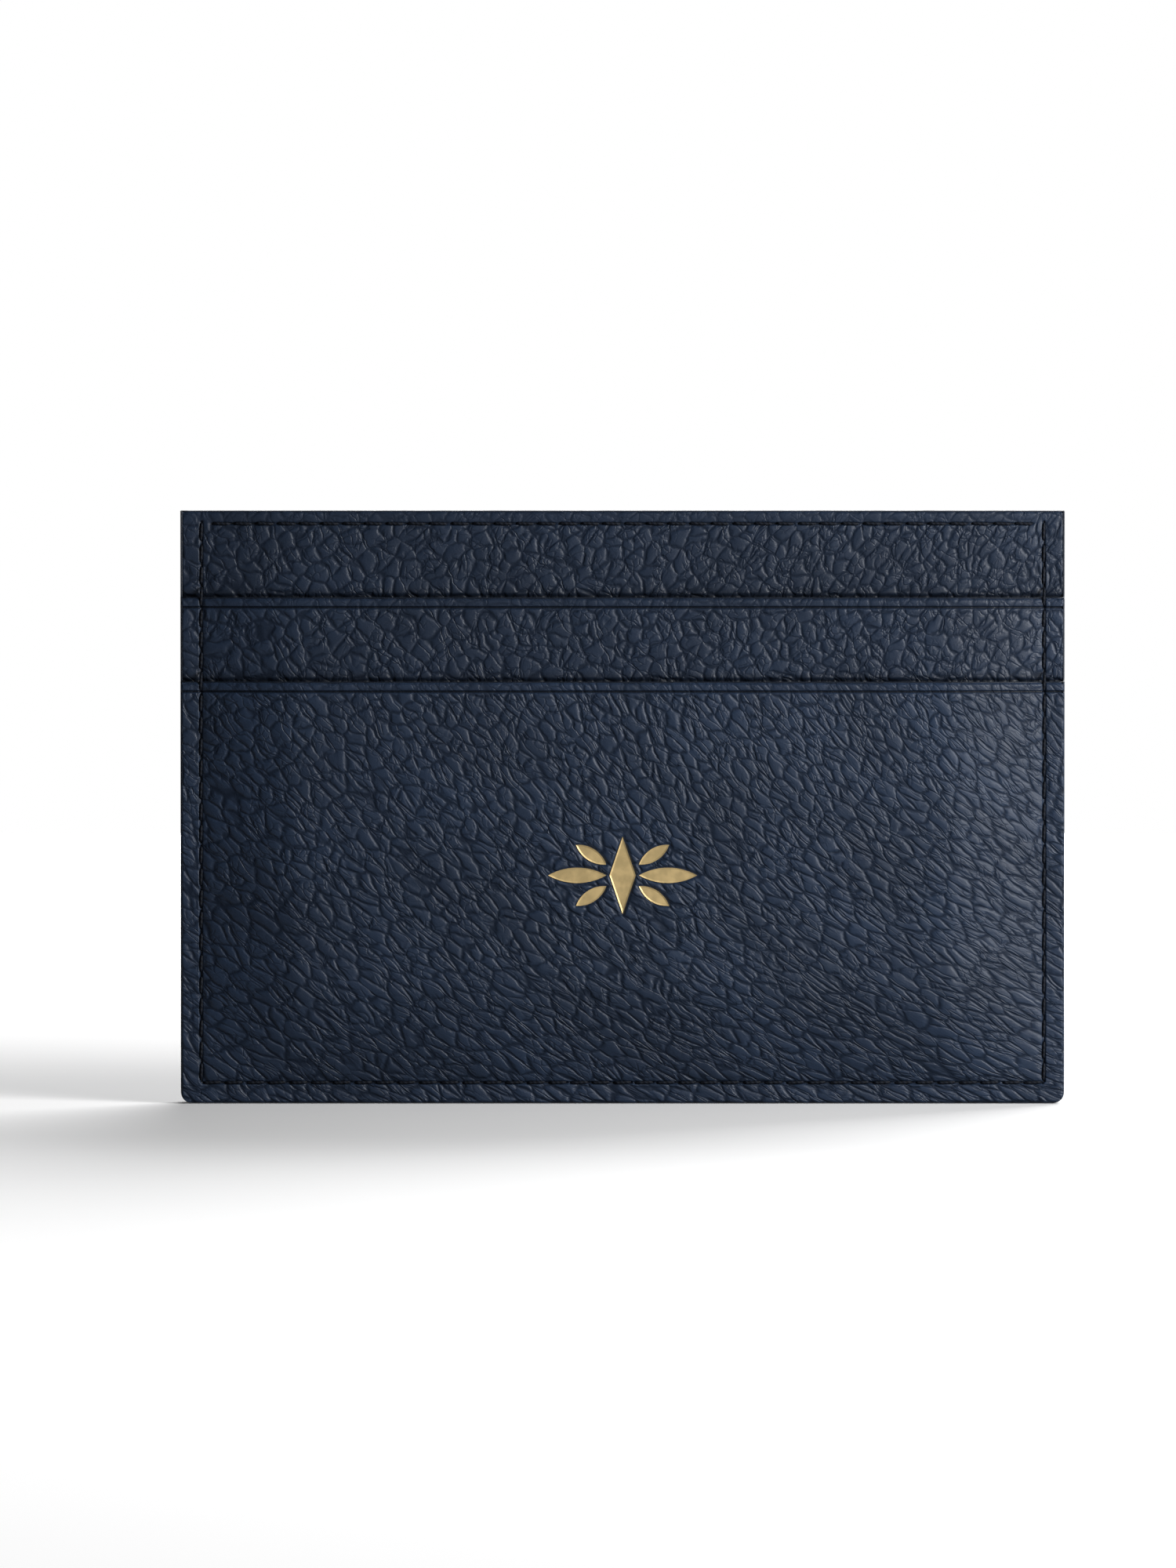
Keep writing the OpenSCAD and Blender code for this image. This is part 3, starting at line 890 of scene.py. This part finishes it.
def paint_bead(side, name, layer, edge_z, inner_layer=None):
    """A rounded bead of paint along the cut top edge of a layer."""
    sign = SIDES[side]
    bm = bmesh.new()
    bmesh.ops.create_cube(bm, size=1.0)
    long_edges = [e for e in bm.edges if abs(e.verts[0].co.x - e.verts[1].co.x) > 0.5]
    bmesh.ops.subdivide_edges(bm, edges=long_edges, cuts=120)
    top = [e for e in bm.edges if all(v.co.z > 0.4 for v in e.verts)
           and abs(e.verts[0].co.y - e.verts[1].co.y) < 0.1]
    bmesh.ops.bevel(bm, geom=top, offset=0.42, segments=4, profile=0.5, affect="EDGES", material=-1)
    mesh = mesh_from(bm)
    co = coordinates(mesh)
    x = co[:, 0] * 2 * PANEL_HALF_W
    z = edge_z + PAINT_T * ((co[:, 2] + 0.5) * BEAD_HEIGHT - BEAD_FOOT)
    rise = crown(x, np.full_like(x, edge_z))
    inner = LAYERS[inner_layer or layer].depth(rise, 0.0)
    outer = LAYERS[layer].depth(rise, 1.0) - BEAD_SET_BACK
    depth = inner + (outer - inner) * (co[:, 1] + 0.5)
    wobble = slow_noise(x, np.zeros_like(x), 3 * MM, edge_z / MM) * 0.015 * MM
    set_coordinates(mesh, np.stack([x, sign * depth, z + wobble], axis=1))
    turn_faces(mesh, bmesh.ops.recalc_face_normals)
    new_piece(f"{side}_{name}", "bead", mesh, "edge_paint")


class HOLDER_OT_mouth_paint(bpy.types.Operator):
    """Painted beads along the top edge and the mouths of the slots"""

    bl_idname = "holder.mouth_paint"
    bl_label = "Mouth Edge Paint"

    def execute(self, context):
        for side in SIDES:
            paint_bead(side, "body_edge_paint", "body", TOP, "lining")
            paint_bead(side, "upper_edge_paint", "strip", UPPER_MOUTH, "liner")
            paint_bead(side, "lower_edge_paint", "face", LOWER_MOUTH)
        return {"FINISHED"}


COAT_DEPTH, COAT_DOME = 0.25 * MM, 0.3 * MM


class HOLDER_OT_perimeter_paint(bpy.types.Operator):
    """The painted edge round the sides and the bottom"""

    bl_idname = "holder.perimeter_paint"
    bl_label = "Perimeter Edge Paint"

    def execute(self, context):
        side_run = TOP - CORNER_R
        arc = math.pi / 2 * CORNER_R
        floor_run = 2 * (HALF_W - CORNER_R)
        total = 2 * side_run + 2 * arc + floor_run
        spots = [0.0]
        for z in (UPPER_MOUTH, LOWER_MOUTH):
            spots += [TOP - z, total - (TOP - z)]
        corners = [side_run + arc / 2, total - side_run - arc / 2]
        path = lines(sorted(spots + corners + [total]), 1.2 * MM, 0.12 * MM, 1.1 * MM)
        across = [math.sin(math.pi / 2 * (i / 8 - 1)) for i in range(17)]
        mesh = slab(path, across)
        co = coordinates(mesh)
        s, t, inner = co[:, 0], co[:, 2], co[:, 1] > 0.5
        mirrored = s > total / 2
        s = np.where(mirrored, total - s, s)
        turn = np.clip((s - side_run) / CORNER_R, 0, math.pi / 2)
        straight = np.minimum(s, side_run)
        along_floor = np.maximum(s - side_run - arc, 0)
        z0 = np.maximum(TOP - straight, 0)
        half = np.full_like(s, SEAM_OUT)
        for low_z, width in ((LOWER_MOUTH, FACE_SEAM), (UPPER_MOUTH, LINER_SEAM)):
            half = np.where(z0 > low_z, width, half)
        dome = np.sqrt(np.clip(1 - t * t, 0, 1))
        proud = np.where(inner, -COAT_DEPTH, (dome - 1) * COAT_DOME * half / SEAM_OUT)
        nx, nz = -np.cos(turn), -np.sin(turn)
        x = -HALF_W + CORNER_R + along_floor + nx * (CORNER_R + proud)
        z = np.where(s <= side_run, TOP - straight, CORNER_R + nz * (CORNER_R + proud))
        x = np.where(s <= side_run, -HALF_W - proud, x)
        x = np.where(mirrored, -x, x)
        set_coordinates(mesh, np.stack([x, t * half, z], axis=1))
        turn_faces(mesh, bmesh.ops.recalc_face_normals)
        new_piece("perimeter_edge_paint", "coat", mesh, "edge_paint")
        return {"FINISHED"}


# ---- stitches ----

STITCH_SIDES = 8
STITCH_RINGS = 9
STITCH_OVERRUN = 0.05 * MM
STITCH_DIVE = 0.55 * MM
PLY_SHIFT = 0.37 * MM  # the twist starts elsewhere on each stitch


def stitch_template():
    """Mesh of one stitch along X, 1 long and 1 thick."""
    bm = bmesh.new()
    turned = Matrix.Rotation(math.pi / 2, 4, "Y")
    bmesh.ops.create_cone(bm, cap_ends=True, segments=STITCH_SIDES, radius1=0.5, radius2=0.5, depth=1.0,
                          matrix=turned)
    long_edges = [e for e in bm.edges if abs(e.verts[0].co.x - e.verts[1].co.x) > 0.5]
    bmesh.ops.subdivide_edges(bm, edges=long_edges, cuts=STITCH_RINGS - 2)
    return mesh_from(bm)


def add_stitches(side, name, boxes, slant, sink):
    """A stitch in each box: thick in the middle, its ends diving into the needle holes, a little aslant."""
    sign = SIDES[side]
    template = stitch_template()
    base = coordinates(template)
    s, thick = base[:, 0], 2 * THREAD_R
    taper = 1 - 0.25 * np.abs(2 * s) ** 3
    dive = np.clip((np.abs(s) - 0.30) / 0.2, 0, 1) ** 2
    bm = bmesh.new()
    plies = []
    for i, (lo, hi) in enumerate(boxes):
        upright = hi.z - lo.z > hi.x - lo.x
        along = s * ((hi.z - lo.z if upright else hi.x - lo.x) + STITCH_OVERRUN)
        across = base[:, 2] * thick * taper * 0.92 + along * slant
        centre = (lo + hi) / 2
        face = abs(lo.y if sign < 0 else hi.y) - thick
        y = sign * (face + THREAD_R - sink + base[:, 1] * thick * 0.95 * taper - dive * STITCH_DIVE)
        right, up = (across, along) if upright else (along, across)
        copy = template.copy()
        set_coordinates(copy, np.stack([centre.x + right, y, centre.z + up], axis=1))
        bm.from_mesh(copy)
        bpy.data.meshes.remove(copy)
        plies.append(np.stack([along + i * PLY_SHIFT, np.arctan2(base[:, 2], base[:, 1]), 0 * s], axis=1))
    bmesh.ops.recalc_face_normals(bm, faces=bm.faces[:])
    mesh = mesh_from(bm)
    bpy.data.meshes.remove(template)
    store(mesh, "ply", np.concatenate(plies), "FLOAT_VECTOR")
    new_piece(f"{side}_{name}", "thread", mesh, "navy_thread")


class HOLDER_OT_seam_stitches(bpy.types.Operator):
    """Stitches down the sides and along the bottom"""

    bl_idname = "holder.seam_stitches"
    bl_label = "Seam Stitches"

    def execute(self, context):
        for side in SIDES:
            add_stitches(side, "seam_stitching", stitch_boxes(f"{side}_seam_stitching"), 0.045, 0.22 * MM)
        return {"FINISHED"}


class HOLDER_OT_top_stitches(bpy.types.Operator):
    """Stitches under the top edge"""

    bl_idname = "holder.top_stitches"
    bl_label = "Top Stitches"

    def execute(self, context):
        for side in SIDES:
            outside = []
            for lo, hi in stitch_boxes(f"{side}_top_stitching"):
                x = (lo.x + hi.x) / 2
                rise = crown(np.array([x]), np.array([TOP_ROW_Z]))[0]
                face = LAYERS["body"].depth(rise, 1.0) + 2 * THREAD_R
                lo, hi = lo.copy(), hi.copy()
                lo.y, hi.y = -face, face
                outside.append((lo, hi))
            add_stitches(side, "top_stitching", outside, -0.05, 0.2 * MM)
        return {"FINISHED"}


class HOLDER_OT_foil_ornament(bpy.types.Operator):
    """Foil of the stamped ornament: a shallow dish whose rim climbs the pressed leather"""

    bl_idname = "holder.foil_ornament"
    bl_label = "Foil Ornament"

    def execute(self, context):
        bm = bmesh_of(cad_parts["front_foil_ornament"].data)
        bmesh.ops.remove_doubles(bm, verts=bm.verts[:], dist=WELD)
        bmesh.ops.dissolve_limit(bm, angle_limit=math.radians(1), verts=bm.verts[:], edges=bm.edges[:])
        front = [f for f in bm.faces if f.normal.y < -0.9]
        for v in {v for f in front for v in f.verts}:
            v.co.y -= 0.05 * MM
        bmesh.ops.inset_region(bm, faces=front, thickness=0.16 * MM, depth=0, use_even_offset=True)
        for v in {v for f in front for v in f.verts}:
            v.co.y += 0.055 * MM
        bmesh.ops.triangulate(bm, faces=bm.faces[:])
        mesh = mesh_from(bm)
        new_piece("front_foil_ornament", "stamp", mesh, "gold_foil")
        mesh.polygons.foreach_set("use_smooth", [False] * len(mesh.polygons))
        return {"FINISHED"}


class HOLDER_OT_hidden_parts(bpy.types.Operator):
    """Finishes of the CAD parts that stay as they are, inside the seams and pockets"""

    bl_idname = "holder.hidden_parts"
    bl_label = "Hidden Parts"

    def execute(self, context):
        for side in SIDES:
            for part, slot in (("seam_filler", "filler_leather"), ("liner_stitching", "navy_thread")):
                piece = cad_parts[f"{side}_{part}"]
                piece.data.materials.clear()
                piece.data.materials.append(finish_of(slot))
        return {"FINISHED"}


# ---- stage ----

FLOOR_HALF = 1.0
VIEW_ASPECT = 4 / 3
HOLDER_SHARE = 0.7513  # of the view's width
AIM = Vector((-3.9 * MM, 0, 36.1 * MM))
EYE_DISTANCE, EYE_HEIGHT = 0.9, 58 * MM
SENSOR = 36


def area_light(name, place, target, width, height, power):
    data = bpy.data.lights.new(name, "AREA")
    data.shape = "RECTANGLE"
    data.size, data.size_y, data.energy = width, height, power
    light = bpy.data.objects.new(name, data)
    bpy.context.scene.collection.objects.link(light)
    light.location = place
    light.rotation_euler = (Vector(target) - Vector(place)).to_track_quat("-Z", "Y").to_euler()
    light.visible_camera = False


def floor_material():
    """Pale floor that gives little light back to the leather, and glows for the camera with painted light
    that brightens away from the holder.
    """
    material, tree, shader = new_material("pale floor")
    coords = object_place(tree)
    cloudy = noise_at(tree, coords, 30.0)[0]
    pale = mix_colour(tree, cloudy, (0.92, 0.92, 0.925, 1), (0.95, 0.95, 0.95, 1))
    seen = node(tree, "ShaderNodeLightPath").outputs["Is Camera Ray"]
    tree.links.new(mix_colour(tree, seen, (0.3, 0.3, 0.3, 1), pale), shader.inputs["Base Color"])
    shader.inputs["Emission Color"].default_value = (1, 1, 1, 1)
    # painted light: an emission seen only by the camera, faint near the holder and brighter away from it
    away = node(tree, "ShaderNodeVectorMath", {0: coords}, operation="LENGTH").outputs["Value"]
    glow = ramp(tree, away, 0.06, 0.32, 0.07, 0.42)
    tree.links.new(math_node(tree, "MULTIPLY", seen, glow), shader.inputs["Emission Strength"])
    shader.inputs["Roughness"].default_value = 0.9
    shader.inputs["Specular IOR Level"].default_value = 0.1
    return material


def white_world():
    """White to the eye, and a faint fill light for the rest."""
    world = bpy.data.worlds.new("studio")
    world.use_nodes = True
    tree = world.node_tree
    seen = node(tree, "ShaderNodeLightPath").outputs["Is Camera Ray"]
    glow = math_node(tree, "MULTIPLY_ADD", seen, 0.96, 0.04)
    tree.links.new(glow, tree.nodes["Background"].inputs["Strength"])
    tree.nodes["Background"].inputs["Color"].default_value = (1, 1, 1, 1)
    return world


class HOLDER_OT_stage(bpy.types.Operator):
    """Pale floor, soft studio light and the camera"""

    bl_idname = "holder.stage"
    bl_label = "Stage"

    def execute(self, context):
        scene = context.scene
        scene.view_settings.view_transform = "Standard"
        scene.world = white_world()
        bm = bmesh.new()
        bmesh.ops.create_grid(bm, x_segments=1, y_segments=1, size=FLOOR_HALF)
        floor = bpy.data.objects.new("floor", mesh_from(bm))
        floor.data.materials.append(floor_material())
        scene.collection.objects.link(floor)

        centre = Vector((0, 0, TOP / 2))
        area_light("key", (0.20, -0.15, 0.11), centre + Vector((0.02, 0, 0)), 0.12, 0.12, 0.52)
        area_light("side", (0.48, -0.38, 0.30), centre, 0.45, 0.4, 2.4)
        area_light("rear", (0.35, 0.95, 0.52), (-0.1, 0.1, 0), 1.0, 0.8, 18.0)

        camera = bpy.data.objects.new("camera", bpy.data.cameras.new("camera"))
        scene.collection.objects.link(camera)
        scene.camera = camera
        camera.location = (AIM.x, -EYE_DISTANCE, EYE_HEIGHT)
        sight = AIM - camera.location
        camera.rotation_euler = sight.to_track_quat("-Z", "Y").to_euler()
        camera.data.sensor_width = SENSOR
        camera.data.lens = SENSOR * sight.length / (2 * HALF_W / HOLDER_SHARE * VIEW_ASPECT)
        return {"FINISHED"}


STEPS = (
    HOLDER_OT_stage,
    HOLDER_OT_body_panels,
    HOLDER_OT_upper_strips,
    HOLDER_OT_lower_panels,
    HOLDER_OT_body_linings,
    HOLDER_OT_pocket_liners,
    HOLDER_OT_mouth_paint,
    HOLDER_OT_perimeter_paint,
    HOLDER_OT_seam_stitches,
    HOLDER_OT_top_stitches,
    HOLDER_OT_foil_ornament,
    HOLDER_OT_hidden_parts,
)


class HOLDER_PT_looks(bpy.types.Panel):
    """Sizes, colours and steps of the card holder"""

    bl_idname = "HOLDER_PT_looks"
    bl_label = "Card Holder"
    bl_space_type = "VIEW_3D"
    bl_region_type = "UI"
    bl_category = "Card Holder"

    def draw(self, context):
        for group in (context.scene.holder_colours, context.scene.holder_sizes):
            for name in group.__annotations__:
                self.layout.prop(group, name)
        for step in STEPS:
            self.layout.operator(step.bl_idname)


CLASSES = (HolderColours, HolderSizes, *STEPS, HOLDER_PT_looks)


def register():
    for cls in CLASSES:
        bpy.utils.register_class(cls)
    bpy.types.Scene.holder_colours = bpy.props.PointerProperty(type=HolderColours)
    bpy.types.Scene.holder_sizes = bpy.props.PointerProperty(type=HolderSizes)


def unregister():
    del bpy.types.Scene.holder_sizes
    del bpy.types.Scene.holder_colours
    for cls in reversed(CLASSES):
        bpy.utils.unregister_class(cls)


def main():
    register()
    pebbled_hide_group()
    relief_modifier_tree()
    for step in STEPS:
        group, name = step.bl_idname.split(".")
        getattr(getattr(bpy.ops, group), name)()


if __name__ == "__main__":
    main()
